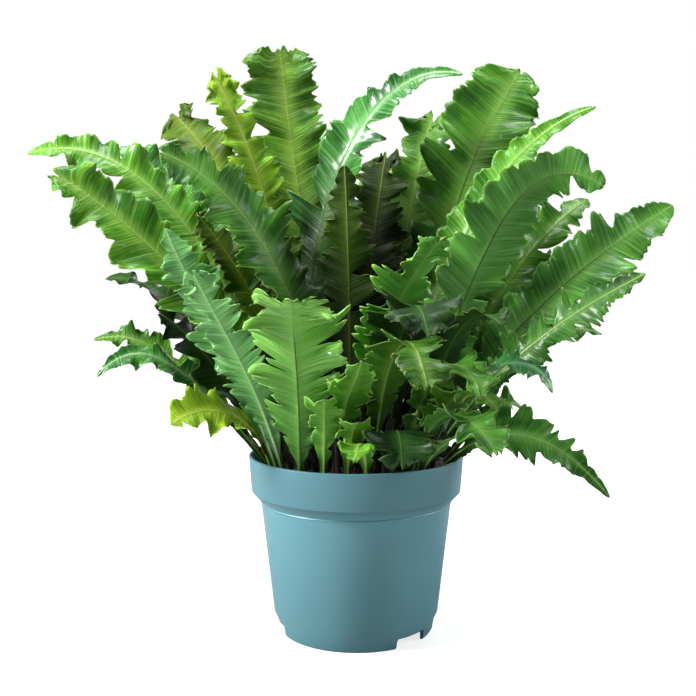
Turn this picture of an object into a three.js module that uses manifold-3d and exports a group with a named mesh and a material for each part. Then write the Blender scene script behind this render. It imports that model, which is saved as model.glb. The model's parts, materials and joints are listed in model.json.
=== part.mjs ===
// A crisped bird's nest fern growing in a plastic nursery pot.
// Millimetres, +Z up. The origin is the centre of the pot's foot, on the surface that it stands on.
// -Y is the front of the plant, and +X its right-hand side.
import * as THREE from "three";
import { mergeVertices } from "three/addons/utils/BufferGeometryUtils.js";
import Module from "manifold-3d";

const wasm = await Module();
wasm.setup();
const RAD = Math.PI / 180;

// Pot: a thin shell with a thickened collar, a stepped foot and drain notches round it
const POT_HEIGHT = 140;
const RIM_RADIUS = 85;
const COLLAR_FOOT_RADIUS = 83;
const COLLAR_HEIGHT = 28;
const SHOULDER_DROP = 8;
const BODY_TOP_RADIUS = 75.5;
const BODY_FOOT_RADIUS = 65.5;
const BODY_FOOT_HEIGHT = 15;
const FOOT_TOP_RADIUS = 63;
const FOOT_RADIUS = 61.5;
const FOOT_STEP_HEIGHT = 10;
const FOOT_EDGE = 1;
const FOOT_EDGE_HEIGHT = 1.5;
const RIM_EDGE = 0.4;
const RIM_EDGE_HEIGHT = 1;
const WALL = 1.8;
const FLOOR_UNDERSIDE = 5;
const POT_SIDES = 40;
const NOTCH_COUNT = 3;
const NOTCH_WIDTH = 29;
const NOTCH_HEIGHT = 8.5;
const NOTCH_REACH = 12;
const NOTCH_FIRST_DEG = -47;

// Potting mix, and the rhizome mat on it that the fronds stand in
const FIT_GAP = 0.4;
const SOIL_HEIGHT = 123;
const MAT_RADIUS = 75;
const MAT_WAVES = 5;
const MAT_WAVE_DEPTH = 1.5;
const MAT_EDGE = 8;
const MAT_CROWN = 15;
const MAT_SIDE_SHARE = 0.6;
const MAT_SHOULDERS = [0.9, 0.5];
const SOCKET_DEPTH = 6;
const SOCKET_CUT_LENGTH = 26;
const SOCKET_GAP = 0.5;

// Fronds
const STALK_HALF_WIDTH = 2.6;
const STALK_HALF_THICKNESS = 1.7;
const TIP_RIB_HALF_THICKNESS = 0.6;
const BLADE_HALF_THICKNESS = 0.45;
const FOOT_PULL = 0.45;
const TIP_PULL = 0.25;
const ARCH_GAIN = 0.008;
const BLADE_START = 0.1;
const USUALLY_WIDEST_AT = 0.62;
const TIP_ROUNDING = 0.5;
const LOBE_LENGTH = 27;
const FEWEST_LOBES = 4;
const LOBE_LENGTH_SPREAD = 0.35;
const LENGTH_DRAWS = 500;
const LEAST_CUT = 0.2;
const MOST_CUT = 2.3;
const MOST_CUT_RARITY = 2;
const DEEPEST_CUT = 0.8;
const LOBE_SPREAD = 0.2;
const FULL_LOBES_AT = 0.6;
const CRIMP = 0.28;
const CRIMP_SPREAD = 0.5;
const SWEEP = 0.5;
const SWEEP_FADES_OVER = 0.25;
const FOLD = 0.16;
const SIDES = [-1, 0, 1];

// The planting list. A row is one frond:
// foot x, y | tip x, y, z | rise, fall | width | roll, twist | widest, end, cut | shade
// Rise and fall are the rib's slant from upright at foot and tip, roll turns the blade about its rib,
// twist turns it further towards the tip, all in degrees. Widest is where along the blade it has its full
// width, end is the tip's share of that, and cut the usual depth of the cuts between its lobes.
const PLANTING = {
  top_back: [-18, 18, -64, 70, 474, 10, 8, 64, -35, 0, 0.7, 0.85, 0.4, "green"],
  young_back: [-33, 3, -114, 16, 442, 6, 30, 36, -60, 0, 0.62, 0.7, 0.45, "young"],
  olive_back: [-32, 28, -162, 110, 425, 8, 50, 52, -50, 0, 0.62, 0.8, 0.35, "olive"],
  side_left: [-54, 24, -164, 84, 316, 20, 75, 48, 0, 0, 0.62, 0.4, 0.35, "green"],
  dusk_left: [-46, 14, -198, 60, 388, 14, 60, 50, -45, 0, 0.62, 0.4, 0.4, "cool"],
  arch_left: [-22, -14, -142, -60, 369, 4, 75, 62, -60, 0, 0.62, 0.5, 0.45, "green"],
  whip_left: [-50, 2, -253, -10, 374, 15, 108, 42, -55, 0, 0.7, 0.12, 0.3, "bright"],
  broad_left: [-48, -14, -220, -60, 354, 22, 62, 60, -55, 0, 0.62, 0.6, 0.3, "bright"],
  steel_left: [-58, -35, -131, -98, 313, 20, 24, 41, 36, 0, 0.62, 0.4, 0.45, "cool"],
  peek_left: [-60, 14, -207, 40, 278, 30, 98, 44, -10, 0, 0.66, 0.5, 0.2, "deep"],
  murk_left: [-57, -6, -151, -22, 252, 32, 55, 48, -40, 0, 0.62, 0.5, 0.4, "deep"],
  spur_left: [-68, 6, -213, 20, 229, 36, 105, 28, -50, 0, 0.62, 0.2, 0.45, "green"],
  drip_left: [-66, -10, -195, -40, 205, 36, 140, 24, -50, 0, 0.62, 0.2, 0.3, "cool"],
  lime_left: [-64, -24, -133, -76, 174, 14, 125, 42, -30, -20, 0.62, 0.4, 0.55, "young"],
  silver_left: [-53, -47, -112, -105, 284, 17, 30, 43, 28, 0, 0.55, 0.6, 0.4, "cool"],
  hero_front: [-41, -64, -44, -138, 266, 0, 50, 67, 0, 0, 0.42, 0.9, 0.3, "bright"],
  shade_left: [-38, -10, -120, -32, 327, 10, 40, 50, -50, 0, 0.62, 0.5, 0.4, "olive"],
  spine_mid: [-4, -18, -9, -42, 362, 2, 15, 46, 0, 0, 0.5, 0.3, 0.6, "olive"],
  arch_right: [-22, 11, 80, -20, 432, -16, 106, 66, 62, 0, 0.45, 0.1, 0.45, "cool"],
  shade_right: [5, 26, 26, 60, 385, 2, 20, 50, 20, 0, 0.62, 0.7, 0.5, "olive"],
  lobe_back: [22, 38, 68, 80, 420, 6, 25, 52, 30, 0, 0.62, 0.8, 0.3, "green"],
  fan_right: [36, 6, 134, 34, 446, 10, 38, 78, 60, 0, 0.8, 0.5, 0.3, "green"],
  wave_right: [32, -10, 181, -20, 408, 8, 75, 38, 60, 0, 0.5, 0.15, 0.2, "bright"],
  hook_right: [30, -24, 170, -90, 342, 24, 125, 56, -50, 0, 0.55, 0.42, 0.4, "green"],
  far_right: [48, -4, 251, 10, 336, 30, 58, 55, 60, 0, 0.62, 0.3, 0.3, "green"],
  behind_right: [50, 24, 200, 76, 346, 26, 62, 50, 40, 0, 0.62, 0.4, 0.35, "green"],
  side_right: [47, 14, 160, 60, 362, 18, 70, 52, 45, 0, 0.62, 0.4, 0.35, "bright"],
  feather_right: [54, -12, 206, -70, 282, 30, 62, 38, 60, 0, 0.62, 0.2, 0.4, "green"],
  peek_right: [58, 20, 210, 60, 231, 40, 110, 30, 30, 0, 0.62, 0.3, 0.3, "green"],
  teal_right: [54, -32, 138, -84, 198, 14, 160, 32, 20, 0, 0.62, 0.2, 0.45, "cool"],
  nook_right: [66, 4, 134, 10, 175, 42, 120, 32, 20, 0, 0.62, 0.4, 0.3, "green"],
  low_right: [62, -22, 186, -62, 118, 41, 140, 40, 32, 24, 0.36, 0.16, 0.5, "green"],
  curl_mid: [-3, -38, 56, -126, 306, 8, 60, 48, 0, 0, 0.55, 0.55, 0.35, "bright"],
  nest_mid: [21, -13, 40, -54, 290, 4, 40, 46, 6, 0, 0.42, 0.5, 0.4, "deep"],
  face_mid: [24, -34, 43, -170, 243, 8, 140, 50, 0, 0, 0.62, 0.8, 0.6, "deep"],
  gloss_mid: [45, -26, 94, -134, 248, 16, 120, 32, 0, 0, 0.62, 0.5, 0.35, "deep"],
  plume_right: [36, -40, 78, -156, 204, 16, 140, 38, 0, 0, 0.62, 0.6, 0.55, "green"],
  drop_mid: [12, -50, 40, -200, 214, 16, 145, 42, 0, 0, 0.62, 0.6, 0.4, "green"],
  bend_right: [43, -43, 92, -128, 192, 20, 130, 42, 0, 0, 0.62, 0.5, 0.5, "green"],
  drop_right: [24, -58, 29, -137, 154, 22, 165, 47, 0, 0, 0.62, 0.6, 0.6, "deep"],
  rim_right: [44, -54, 98, -116, 172, 24, 100, 36, 0, 0, 0.62, 0.5, 0.4, "green"],
  tuck_right: [39, -50, 88, -158, 167, 22, 135, 37, 0, 0, 0.62, 0.6, 0.4, "green"],
  finger_mid: [-16, -46, 2, -146, 226, 14, 50, 30, 0, 0, 0.62, 0.4, 0.3, "bright"],
  sprout_left: [-24, -64, -22, -135, 200, 14, 70, 24, 0, 0, 0.62, 0.4, 0.3, "bright"],
  sprout_mid: [-7, -62, 0, -130, 184, 20, 80, 24, 0, 0, 0.62, 0.4, 0.3, "bright"],
  frill_mid: [8, -66, -2, -142, 160, 24, 120, 24, 0, 0, 0.62, 0.5, 0.3, "bright"],
  back_a: [46, 34, 180, 130, 300, 32, 90, 56, 0, 0, 0.62, 0.4, 0.4, "green"],
  back_b: [42, 50, 140, 168, 255, 36, 105, 50, 0, 0, 0.62, 0.4, 0.35, "deep"],
  back_c: [24, 48, 95, 196, 310, 28, 90, 58, 0, 0, 0.62, 0.4, 0.4, "bright"],
  back_d: [6, 62, 30, 203, 250, 36, 105, 52, 0, 0, 0.62, 0.4, 0.4, "green"],
  back_e: [-12, 48, -30, 204, 300, 28, 90, 60, 0, 0, 0.62, 0.4, 0.35, "cool"],
  back_f: [-28, 58, -90, 192, 245, 36, 105, 50, 0, 0, 0.62, 0.4, 0.4, "bright"],
  back_g: [-42, 38, -140, 160, 300, 28, 90, 56, 0, 0, 0.62, 0.4, 0.35, "green"],
  back_h: [-58, 36, -170, 112, 250, 34, 105, 48, 0, 0, 0.62, 0.4, 0.4, "deep"],
  rear_right: [38, 30, 116, 112, 384, 14, 60, 56, 20, 0, 0.62, 0.5, 0.4, "cool"],
  rear_mid: [6, 42, 34, 139, 378, 12, 60, 56, 0, 0, 0.62, 0.5, 0.35, "green"],
  rear_left: [-22, 37, -74, 136, 396, 12, 60, 56, -16, 0, 0.62, 0.5, 0.4, "bright"],
};

const COLOURS = {
  pot: [0x76a5b4, 0.45],
  mix: [0x2b211a, 0.95],
  mat: [0x3d2c1e, 0.9],
  young: [0x93b432, 0.45],
  bright: [0x6fae45, 0.4],
  green: [0x5c9440, 0.4],
  cool: [0x67a06e, 0.35],
  olive: [0x536a2a, 0.45],
  deep: [0x36592c, 0.4],
};

function material(name) {
  const [color, roughness] = COLOURS[name];
  return new THREE.MeshStandardMaterial({ color, roughness, metalness: 0 });
}

// A closed three.js geometry as a solid that can be cut.
function solidFrom(geometry) {
  const bare = new THREE.BufferGeometry();
  bare.setAttribute("position", geometry.getAttribute("position"));
  bare.setIndex(geometry.getIndex());
  const merged = mergeVertices(bare, 1e-4);
  return new wasm.Manifold(
    new wasm.Mesh({
      numProp: 3,
      vertProperties: merged.attributes.position.array,
      triVerts: new Uint32Array(merged.index.array),
    }),
  );
}

function geometryFrom(solid) {
  const mesh = solid.getMesh();
  const geometry = new THREE.BufferGeometry();
  geometry.setAttribute("position", new THREE.BufferAttribute(mesh.vertProperties, 3));
  geometry.setIndex(new THREE.BufferAttribute(mesh.triVerts, 1));
  geometry.computeVertexNormals();
  return geometry;
}

function named(name, geometry, look) {
  const mesh = new THREE.Mesh(geometry, material(look));
  mesh.name = name;
  return mesh;
}

// A body of revolution about Z. The profile is [radius, height] pairs, going up on the outside.
function turned(profile) {
  const points = profile.map(([r, z]) => new THREE.Vector2(r, z));
  return new THREE.LatheGeometry(points, POT_SIDES).rotateX(Math.PI / 2);
}

// Inner radius of the pot's wall at a height, on the straight runs of the body and the collar.
function innerRadius(z) {
  const shoulder = POT_HEIGHT - COLLAR_HEIGHT - SHOULDER_DROP;
  if (z <= shoulder) {
    const share = (z - BODY_FOOT_HEIGHT) / (shoulder - BODY_FOOT_HEIGHT);
    return BODY_FOOT_RADIUS + (BODY_TOP_RADIUS - BODY_FOOT_RADIUS) * Math.max(share, 0) - WALL;
  }
  const collar = POT_HEIGHT - COLLAR_HEIGHT;
  if (z < collar) {
    const share = (z - shoulder) / SHOULDER_DROP;
    return BODY_TOP_RADIUS + (COLLAR_FOOT_RADIUS - BODY_TOP_RADIUS) * share - WALL;
  }
  const share = (z - collar) / COLLAR_HEIGHT;
  return COLLAR_FOOT_RADIUS + (RIM_RADIUS - COLLAR_FOOT_RADIUS) * share - WALL;
}

function pot() {
  const collar = POT_HEIGHT - COLLAR_HEIGHT;
  const shoulder = collar - SHOULDER_DROP;
  const floorTop = FLOOR_UNDERSIDE + WALL;
  const outside = [
    [FOOT_RADIUS - FOOT_EDGE - WALL, 0],
    [FOOT_RADIUS - FOOT_EDGE, 0],
    [FOOT_RADIUS, FOOT_EDGE_HEIGHT],
    [FOOT_TOP_RADIUS, FOOT_STEP_HEIGHT],
    [BODY_FOOT_RADIUS, BODY_FOOT_HEIGHT],
    [BODY_TOP_RADIUS, shoulder],
    [COLLAR_FOOT_RADIUS, collar],
    [RIM_RADIUS, POT_HEIGHT - RIM_EDGE_HEIGHT],
    [RIM_RADIUS - RIM_EDGE, POT_HEIGHT],
  ];
  const inside = [
    [RIM_RADIUS - WALL, POT_HEIGHT],
    [innerRadius(collar), collar],
    [innerRadius(shoulder), shoulder],
    [BODY_FOOT_RADIUS - WALL, BODY_FOOT_HEIGHT],
    [FOOT_TOP_RADIUS - WALL, floorTop],
    [0, floorTop],
  ];
  const underside = [
    [0, FLOOR_UNDERSIDE],
    [FOOT_RADIUS - FOOT_EDGE - WALL, FLOOR_UNDERSIDE],
  ];
  const profile = [...underside, ...outside, ...inside];
  let shell = solidFrom(turned(profile));
  for (let i = 0; i < NOTCH_COUNT; i++) {
    const notch = new THREE.BoxGeometry(2 * NOTCH_REACH, NOTCH_WIDTH, 2 * NOTCH_HEIGHT);
    notch.translate(FOOT_RADIUS, 0, 0);
    notch.rotateZ((NOTCH_FIRST_DEG + (i * 360) / NOTCH_COUNT) * RAD);
    shell = shell.subtract(solidFrom(notch));
  }
  return named("pot", geometryFrom(shell), "pot");
}

// The root ball fills the pot, a little clear of its wall.
function pottingMix() {
  const shoulder = POT_HEIGHT - COLLAR_HEIGHT - SHOULDER_DROP;
  const collar = POT_HEIGHT - COLLAR_HEIGHT;
  const bottom = FLOOR_UNDERSIDE + WALL + FIT_GAP;
  const edge = (z) => [innerRadius(z) - FIT_GAP, z];
  const profile = [
    [0, bottom],
    [FOOT_TOP_RADIUS - WALL - FIT_GAP, bottom],
    [BODY_FOOT_RADIUS - WALL - FIT_GAP, BODY_FOOT_HEIGHT],
    edge(shoulder),
    edge(collar),
    edge(SOIL_HEIGHT),
    [0, SOIL_HEIGHT],
  ];
  return named("potting_mix", geometryFrom(solidFrom(turned(profile))), "mix");
}

// Height of the rhizome mat's top at a distance from the pot's axis.
function matTop(radius) {
  const share = Math.min(radius / MAT_RADIUS, 1);
  return SOIL_HEIGHT + FIT_GAP + MAT_EDGE + (MAT_CROWN - MAT_EDGE) * (1 - share * share);
}

// The mat's outline waves a little, and a square socket is cut for each frond's stalk.
function rhizomeMat(ribs) {
  const bottom = SOIL_HEIGHT + FIT_GAP;
  const shoulders = MAT_SHOULDERS.map((share) => share * MAT_RADIUS);
  const profile = [
    [0, bottom],
    [MAT_RADIUS, bottom],
    [MAT_RADIUS, bottom + MAT_SIDE_SHARE * MAT_EDGE],
    ...shoulders.map((radius) => [radius, matTop(radius)]),
    [0, matTop(0)],
  ];
  const geometry = turned(profile);
  const points = geometry.attributes.position;
  for (let i = 0; i < points.count; i++) {
    const angle = Math.atan2(points.getY(i), points.getX(i));
    const wave = 1 + (MAT_WAVE_DEPTH / MAT_RADIUS) * Math.cos(MAT_WAVES * angle);
    points.setXY(i, points.getX(i) * wave, points.getY(i) * wave);
  }
  let mat = solidFrom(geometry);
  for (const rib of ribs) {
    const socket = new THREE.BoxGeometry(
      2 * (STALK_HALF_WIDTH + SOCKET_GAP),
      2 * (STALK_HALF_THICKNESS + SOCKET_GAP),
      SOCKET_CUT_LENGTH,
    );
    socket.translate(0, 0, SOCKET_CUT_LENGTH / 2 - SOCKET_GAP);
    const { centre, across, out, along } = rib.frameAt(0);
    socket.applyMatrix4(new THREE.Matrix4().makeBasis(across, out, along).setPosition(centre));
    mat = mat.subtract(solidFrom(socket));
  }
  return named("rhizome_mat", geometryFrom(mat), "mat");
}

// A repeatable number from 0 to 1: one draw of one frond.
function draw(seed, n) {
  const s = Math.sin(seed * 12.9898 + n * 78.233) * 43758.5453;
  return s - Math.floor(s);
}

// A frond's rib: its curve, and the blade's own directions along it.
function ribOf([footX, footY, tipX, tipY, tipZ, rise, fall, , roll, twist]) {
  const foot = new THREE.Vector3(footX, footY, matTop(Math.hypot(footX, footY)) - SOCKET_DEPTH);
  const tip = new THREE.Vector3(tipX, tipY, tipZ);
  const bearing = Math.atan2(tipY - footY, tipX - footX);
  const arch = (1 + ARCH_GAIN * Math.max(0, fall - 90)) * foot.distanceTo(tip);
  const slanted = (deg) =>
    new THREE.Vector3(
      Math.sin(deg * RAD) * Math.cos(bearing),
      Math.sin(deg * RAD) * Math.sin(bearing),
      Math.cos(deg * RAD),
    );
  const curve = new THREE.CubicBezierCurve3(
    foot,
    foot.clone().addScaledVector(slanted(rise), FOOT_PULL * arch),
    tip.clone().addScaledVector(slanted(fall), -TIP_PULL * arch),
    tip,
  );
  const level = new THREE.Vector3(-Math.sin(bearing), Math.cos(bearing), 0);
  const frameAt = (u) => {
    const centre = curve.getPointAt(u);
    const along = curve.getTangentAt(u);
    const flat = level.clone().addScaledVector(along, -level.dot(along)).normalize();
    const up = along.clone().cross(flat);
    const turn = (roll + twist * u) * RAD;
    const across = flat.clone().multiplyScalar(Math.cos(turn)).addScaledVector(up, Math.sin(turn));
    return { centre, across, out: along.clone().cross(across), along };
  };
  return { frameAt, length: curve.getLength() };
}

// Share of the full width along a blade, from 0 at its start to 1 at its widest and down to the tip's.
// A blade that is widest low down runs out in a drawn-out tail.
function widthShare(u, { widest, end }) {
  const s = (u - BLADE_START) / (1 - BLADE_START);
  if (s <= 0) return 0;
  if (s < widest) return Math.sin((s / widest) * 90 * RAD);
  const falling = Math.cos(((s - widest) / (1 - widest)) * 90 * RAD);
  return end + (1 - end) * falling ** (USUALLY_WIDEST_AT / widest);
}

// Shares of a frond's length where its blade is cut, at unequal steps: the right margin at the even ones,
// the left margin at the odd ones.
function cutsOf(seed, lobes) {
  const ends = [0];
  for (let i = 0; i < 2 * lobes; i++) {
    const step = 1 + LOBE_LENGTH_SPREAD * (2 * draw(seed, LENGTH_DRAWS + i) - 1);
    ends.push(ends[i] + step);
  }
  return ends.map((end) => 1 - (1 - BLADE_START) * (1 - end / ends[2 * lobes]));
}

// The margin at one side of a station: how far out it lies, and how far its lobe is crimped up or down.
function margin(u, station, side, leaf) {
  const shift = side > 0 ? 0 : 0.5;
  const lobe = station / 2 + shift;
  const index = Math.floor(lobe);
  const phase = lobe - index;
  const pick = (n, i) => draw(leaf.seed, 10 * i + n + 5 * shift);
  const vary = (n, i, spread) => spread * (2 * pick(n, i) - 1);
  const inCut = Math.cos(phase * 180 * RAD) ** 2;
  const onLobe = 1 - inCut;
  const rare = pick(0, Math.round(lobe)) ** MOST_CUT_RARITY;
  const cut = Math.min(DEEPEST_CUT, leaf.cut * (LEAST_CUT + (MOST_CUT - LEAST_CUT) * rare));
  const round = station === 2 * leaf.lobes ? TIP_ROUNDING : 1;
  const half = (leaf.width / 2) * widthShare(u, leaf) * round;
  const grown = Math.min(1, half / ((FULL_LOBES_AT * leaf.width) / 2));
  const reach = half * (1 - grown * cut * inCut) * (1 + vary(1, index, LOBE_SPREAD) * onLobe);
  const waved = (index % 2 ? 1 : -1) * (1 + vary(2, index, CRIMP_SPREAD));
  const crimp = half * grown * CRIMP * waved * onLobe;
  return { reach: Math.max(reach, STALK_HALF_WIDTH), crimp };
}

// One frond: a stalk that widens into a thin blade, ribbed along its middle, with lobed, crimped margins.
function frond(name, row, seed) {
  const rib = ribOf(row);
  const lobes = Math.max(FEWEST_LOBES, Math.round(((1 - BLADE_START) * rib.length) / LOBE_LENGTH));
  const [, , , , , , , width, , , widest, end, cut, shade] = row;
  const leaf = { seed, lobes, width, widest, end, cut };
  const stalk = [0, BLADE_START / 2];
  const stations = [...stalk, ...cutsOf(seed, lobes)];
  const upper = [];
  const lower = [];
  for (const [i, u] of stations.entries()) {
    const { centre, across, out, along } = rib.frameAt(u);
    const ribHalf = STALK_HALF_THICKNESS + (TIP_RIB_HALF_THICKNESS - STALK_HALF_THICKNESS) * u;
    const swept = SWEEP * Math.min(1, (1 - u) / SWEEP_FADES_OVER);
    for (const side of SIDES) {
      const { reach, crimp } = margin(u, i - stalk.length, side, leaf);
      const offRib = Math.abs(side);
      const blade = (reach - STALK_HALF_WIDTH) * offRib;
      const point = centre.clone().addScaledVector(across, side * reach);
      point.addScaledVector(along, swept * blade);
      point.addScaledVector(out, FOLD * blade + crimp * offRib);
      const half = side === 0 ? ribHalf : BLADE_HALF_THICKNESS;
      upper.push(point.clone().addScaledVector(out, half));
      lower.push(point.clone().addScaledVector(out, -half));
    }
  }
  return named(name, skin(upper, lower, SIDES.length), shade);
}

// Closes two like grids of points, one over the other, into a thin shell split alike on both faces.
function skin(upper, lower, columns) {
  const rows = upper.length / columns;
  const under = upper.length;
  const faces = [];
  const quad = (a, b, c, d) => faces.push(a, c, b, a, d, c);
  for (let i = 0; i + 1 < rows; i++) {
    for (let j = 0; j + 1 < columns; j++) {
      const a = i * columns + j;
      const [b, c, d] = [a + 1, a + columns + 1, a + columns];
      quad(a, b, c, d);
      faces.push(under + a, under + b, under + c, under + a, under + c, under + d);
    }
    const first = i * columns;
    const last = first + columns - 1;
    quad(first, first + columns, under + first + columns, under + first);
    quad(last, under + last, under + last + columns, last + columns);
  }
  for (let j = 0; j + 1 < columns; j++) {
    const top = (rows - 1) * columns + j;
    quad(j, under + j, under + j + 1, j + 1);
    quad(top, top + 1, under + top + 1, under + top);
  }
  const geometry = new THREE.BufferGeometry().setFromPoints([...upper, ...lower]);
  geometry.setIndex(faces);
  geometry.computeVertexNormals();
  return geometry;
}

const fern = new THREE.Group();
const rows = Object.entries(PLANTING);
fern.add(pot());
fern.add(pottingMix());
fern.add(rhizomeMat(rows.map(([, row]) => ribOf(row))));
rows.forEach(([name, row], seed) => fern.add(frond(name, row, seed + 1)));

export default fern;
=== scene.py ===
import json
import math

import bmesh
import bpy
import numpy as np
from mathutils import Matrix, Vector, noise

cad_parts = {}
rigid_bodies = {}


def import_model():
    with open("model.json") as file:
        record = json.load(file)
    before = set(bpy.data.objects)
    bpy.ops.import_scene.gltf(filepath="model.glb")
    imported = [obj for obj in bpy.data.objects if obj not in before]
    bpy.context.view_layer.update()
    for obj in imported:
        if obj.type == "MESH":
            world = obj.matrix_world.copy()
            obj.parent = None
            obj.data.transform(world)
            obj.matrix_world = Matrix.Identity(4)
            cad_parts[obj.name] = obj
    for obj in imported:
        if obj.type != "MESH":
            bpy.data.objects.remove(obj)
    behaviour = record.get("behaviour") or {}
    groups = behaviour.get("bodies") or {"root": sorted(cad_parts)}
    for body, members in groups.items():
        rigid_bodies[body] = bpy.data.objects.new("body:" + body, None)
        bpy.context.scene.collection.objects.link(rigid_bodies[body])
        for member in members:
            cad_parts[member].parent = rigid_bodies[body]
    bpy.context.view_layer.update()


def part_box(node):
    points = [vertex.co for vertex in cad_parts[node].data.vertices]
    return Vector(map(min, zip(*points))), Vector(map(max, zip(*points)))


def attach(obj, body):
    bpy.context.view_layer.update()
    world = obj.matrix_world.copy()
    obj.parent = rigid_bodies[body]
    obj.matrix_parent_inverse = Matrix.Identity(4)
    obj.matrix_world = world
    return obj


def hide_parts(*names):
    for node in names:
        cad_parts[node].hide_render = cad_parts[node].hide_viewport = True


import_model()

# A crisped bird's nest fern in a plastic nursery pot.
# Sizes are millimetres until a mesh is made, which is in metres. -Y is the front of the plant.
MM = 0.001

# Pot. A cap is the flat middle that closes a turned body at its axis.
POT_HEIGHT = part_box("pot")[1].z / MM
RIM_RADIUS = 85.0
COLLAR_FOOT_RADIUS = 83.0
COLLAR_HEIGHT = 28.0
SHOULDER_DROP = 8.0
BODY_TOP_RADIUS = 75.5
BODY_FOOT_RADIUS = 65.5
BODY_FOOT_HEIGHT = 15.0
FOOT_TOP_RADIUS = 63.0
FOOT_RADIUS = 61.5
FOOT_STEP_HEIGHT = 10.0
WALL = 1.8
FLOOR_UNDERSIDE = 5.0
FOOT_RING_INSET = 1.0
FOOT_ROUND = 1.5
RIM_ROUND = 0.6
CAP_RADIUS = 3.0
POT_SEGMENTS = 144
NOTCH_COUNT = 3
NOTCH_WIDTH = 29.0
NOTCH_HEIGHT = 8.5
NOTCH_REACH = 12.0
NOTCH_CORNER = 2.5
NOTCH_CORNER_STEPS = 6
NOTCH_FIRST_DEG = -47.0
EDGE_ROUND = 0.45
EDGE_STEPS = 3
EDGE_FROM_DEG = 24
BEAD = 0.6
BEAD_HEIGHT = 1.6

# Potting mix and rhizome mat
FIT_GAP = 0.4
ROUND_SEGMENTS = 160
SOIL_HEIGHT = 123.0
SOIL_RINGS = 44
SOIL_EDGE_BLEND = 3.0
MAT_RADIUS = 75.0
MAT_EDGE = 8.0
MAT_CROWN = 15.0
MAT_RINGS = 46
MAT_LUMPS_FROM = 4.0
MAT_SPREAD = 0.02
SOCKET_DEPTH = 6.0
STUB_TRIES = 1200
STUB_FIELD = 0.9
STUB_CLEARANCE = 4.6
STUB_HEIGHT = 72.0
STUB_SHORTEST = 0.55
STUB_FOOT_RADIUS = 2.3
STUB_TOP_RADIUS = 1.0
STUB_SIDES = 9
STUB_SUNK = 2.0
STUB_LEAST_LEAN_DEG = 10
STUB_LEAN_SPREAD_DEG = 20
STUB_WOBBLE = 0.7

# Fronds: their main form
STALK_HALF_WIDTH = 2.6
STALK_HALF_THICKNESS = 1.7
TIP_RIB_HALF_THICKNESS = 0.5
FOOT_PULL = 0.45
TIP_PULL = 0.25
ARCH_GAIN = 0.008
BLADE_START = 0.1
USUALLY_WIDEST_AT = 0.62
LOBE_LENGTH = 27.0
FEWEST_LOBES = 4
LOBE_LENGTH_SPREAD = 0.35
LEAST_CUT = 0.2
MOST_CUT = 2.3
MOST_CUT_RARITY = 2
DEEPEST_CUT = 0.8
LOBE_SPREAD = 0.2
FULL_LOBES_AT = 0.6
CRIMP = 0.28
CRIMP_SPREAD = 0.5
SWEEP = 0.5
SWEEP_FADES_OVER = 0.25
FOLD = 0.16
TIP_ROUNDING = 3.2
CREST_ROUNDING = 2.0
NARROWEST_TIP = 0.002

# Fronds: what the blade has between its lobes
ROW_STEP = 1.2
STALK_ROWS = 8
COLUMN_SHARES = [0.0, 0.05, 0.13, 0.26, 0.42, 0.58, 0.74, 0.88, 1.0]
BLADE_HALF_THICKNESS = 0.24
RIB_SPREAD_FOOT = 2.0
RIB_SPREAD_TIP = 0.8
CUT_SHARPNESS = 2.6
SCALLOP_LENGTH = 12.0
SCALLOP_DEPTH = 3.6
SCALLOPS_UNCUT = 0.35
SCALLOPS_BY_CUT = 1.2
TOOTH_LENGTH = 5.6
TOOTH_DEPTH = 2.4
TEETH_UNCUT = 0.15
TEETH_BY_CUT = 1.3
DEEPEST_TOOTH = 0.75
FINE_FROM_HALF_WIDTH = 12.0
SLIT_LENGTH = 16.0
SLIT_DEPTH = 13.0
SLIT_SHARPNESS = 12.0
USUAL_FRINGE = 0.04
FRINGE_LENGTH = 7.5
FRINGE_SHARPNESS = 9.0
FRINGE_FULLNESS = 0.7
FRINGE_CURL = 6.0
FRINGE_CURL_LENGTH = 1.4 * FRINGE_LENGTH
RUFFLE_LENGTH = 19.0
RUFFLE = 3.6
CRESTED_FROM_END = 0.35
CREST_REACH = 3.4
CREST_STARTS_AT = 0.84
TIP_WIDTH = 0.68
PLEAT_LENGTH = 7.5
PLEAT = 0.2
PLEATED_FROM = 8.0
PALE_END = 2.4
PAINTED_RIB = 0.75
UV_SPAN = 100

# How a blade's forms grow from rib to margin: the power of a point's share of the half width
SWEEP_BOW = 0.9
FOLD_BOW = 1.4
CRIMP_BOW = 1.8
RUFFLE_BOW = 3

# How uneven the waves, teeth and nicks of a margin are, as shares of their step or height
START_SPREAD = 7
WAVE_BEAT = 0.31
WAVE_VARIES = 0.35
STEP_WARP = 0.3
ARC_WARP_LENGTH = 3.3
ARC_LEAST = 0.25
ARC_VARIES = 1.5
ARC_MIDDLE = 0.62
SLIT_WARP_LENGTH = 4
SLIT_LEAST = 0.1
SLIT_VARIES = 1.2
SLIT_RARITY = 1.3

# The crest of a blunt tip: two waves across it, a notch at the rib and low corners
CREST_WAVE = 7.5
CREST_RIPPLE = 17
CREST_RIPPLE_SHARE = 0.6
CREST_RIPPLE_TURN = 2.3
CREST_SINK = 0.4
CREST_NOTCH = 0.9
CREST_NOTCH_WIDTH = 0.2
CREST_CORNER = 1.4

# Along a frond, as shares of its length: how much of its tone, painted light and shade included, and of
# its dark rib shows
TONE_SHOWS = ([0, 0.35, 1], [0.3, 0.5, 1.2])
DARK_RIB_SHOWS = ([0, 0.72, 0.9], [1, 1, 0.2])

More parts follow.
